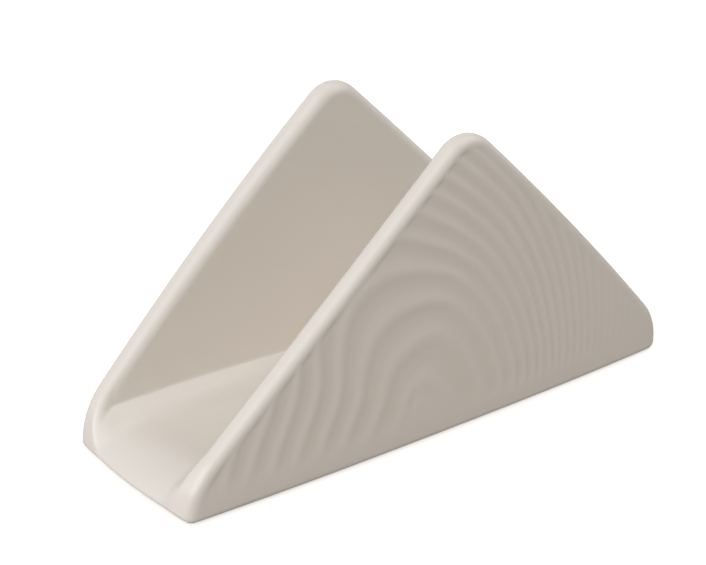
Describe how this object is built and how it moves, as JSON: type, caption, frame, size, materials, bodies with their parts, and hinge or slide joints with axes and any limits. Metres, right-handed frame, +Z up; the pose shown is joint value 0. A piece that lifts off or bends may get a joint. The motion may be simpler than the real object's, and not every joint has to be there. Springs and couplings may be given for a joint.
{
  "type": "napkin holder",
  "caption": "Glazed ceramic napkin holder: a tray-like foot and leaning triangular walls with ripple relief outside, open at the top and at both ends.",
  "frame": {"origin": "centre of the foot, on the plane of the table", "axes": "+X along the holder from one open end to the other, +Y across it from the front wall to the back wall, +Z up"},
  "size_m": [0.15, 0.0522, 0.074],
  "materials": {
    "glaze": "warm white gloss glaze over a cast ceramic body"
  },
  "bodies": {
    "root": {"base": "glaze", "front_wall": "glaze", "back_wall": "glaze"}
  },
  "joints": []
}
